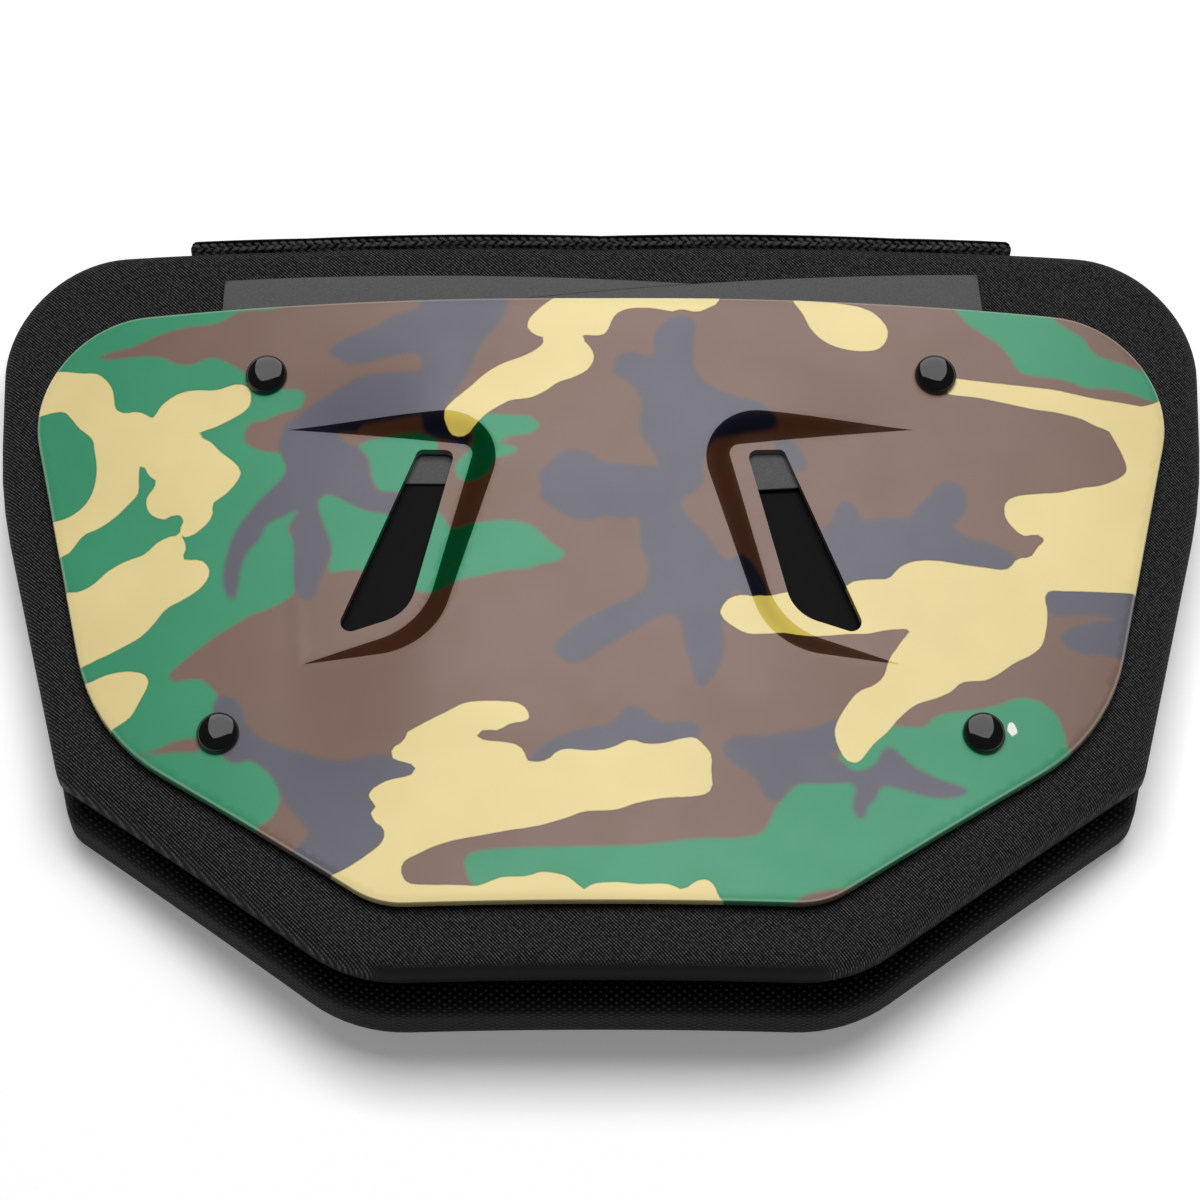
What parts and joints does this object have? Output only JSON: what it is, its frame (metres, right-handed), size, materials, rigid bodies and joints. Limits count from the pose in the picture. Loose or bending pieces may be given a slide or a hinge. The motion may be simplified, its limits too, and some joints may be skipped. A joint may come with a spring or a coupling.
{
  "type": "football back plate",
  "caption": "Curved hard back plate with two cut-out scoops, riveted over grey liners to a padded foam backing with a knitted neck edge.",
  "frame": {"origin": "middle of the bounding box in plan, on the flat surface that the plate lies on", "axes": "+X across the shoulders to the wearer's right as the picture shows it, +Y up to the neck, +Z out of the wearer's back, through the hard shell"},
  "size_m": [0.35, 0.238, 0.066],
  "materials": {
    "camouflage_polycarbonate": "glossy moulded polycarbonate with a woodland camouflage film in green, tan, brown and grey-violet",
    "grey_vinyl": "thin smooth grey vinyl sheet",
    "black_woven_polyester": "coarse crossed weave over foam",
    "black_spacer_mesh": "bumpy spacer mesh over foam",
    "black_knit": "chunky knitted loops",
    "black_gloss_nylon": "glossy moulded dome"
  },
  "bodies": {
    "root": {"shell": "camouflage_polycarbonate", "liner_left": "grey_vinyl", "liner_right": "grey_vinyl", "front_pad": "black_woven_polyester", "rear_pad": "black_spacer_mesh", "neck_band": "black_knit", "rivet_upper_left": "black_gloss_nylon", "rivet_upper_right": "black_gloss_nylon", "rivet_lower_left": "black_gloss_nylon", "rivet_lower_right": "black_gloss_nylon"}
  },
  "joints": []
}
